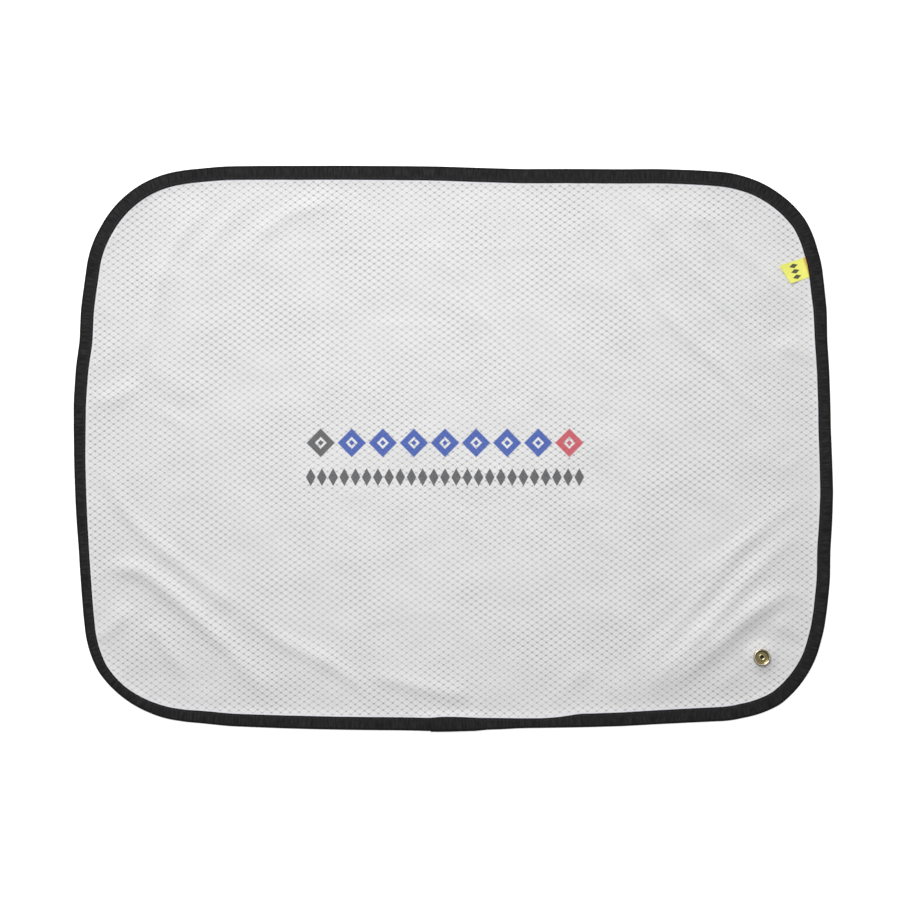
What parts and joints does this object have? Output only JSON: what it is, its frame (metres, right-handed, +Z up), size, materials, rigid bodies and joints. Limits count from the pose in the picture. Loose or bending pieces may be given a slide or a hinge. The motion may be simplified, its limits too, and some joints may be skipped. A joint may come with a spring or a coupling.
{
  "type": "esd table cover",
  "caption": "Flat anti-static cover for a work table: white grid fabric with round corners, bound in black folded tape, with a snap for a ground cord and a small sewn-in ribbon tag.",
  "frame": {"origin": "middle of the cover on the table surface it lies on", "axes": "+X along the cover's length, towards the end with the snap and the tag; +Y across it, away from the edge with the snap; +Z up, out of the face that the snap opens on"},
  "size_m": [0.61, 0.4556, 0.0046],
  "materials": {
    "grid_fabric": "matt woven polyester with a fine diamond grid of dark conductive yarn",
    "binding_tape": "matt woven black tape",
    "tag_ribbon": "lime yellow satin ribbon",
    "snap_socket_metal": "polished",
    "snap_cap_metal": "bright plated"
  },
  "bodies": {
    "root": {"fabric_panel": "grid_fabric", "edge_binding": "binding_tape", "label_tag": "tag_ribbon", "snap_socket": "snap_socket_metal", "snap_cap": "snap_cap_metal"}
  },
  "joints": []
}
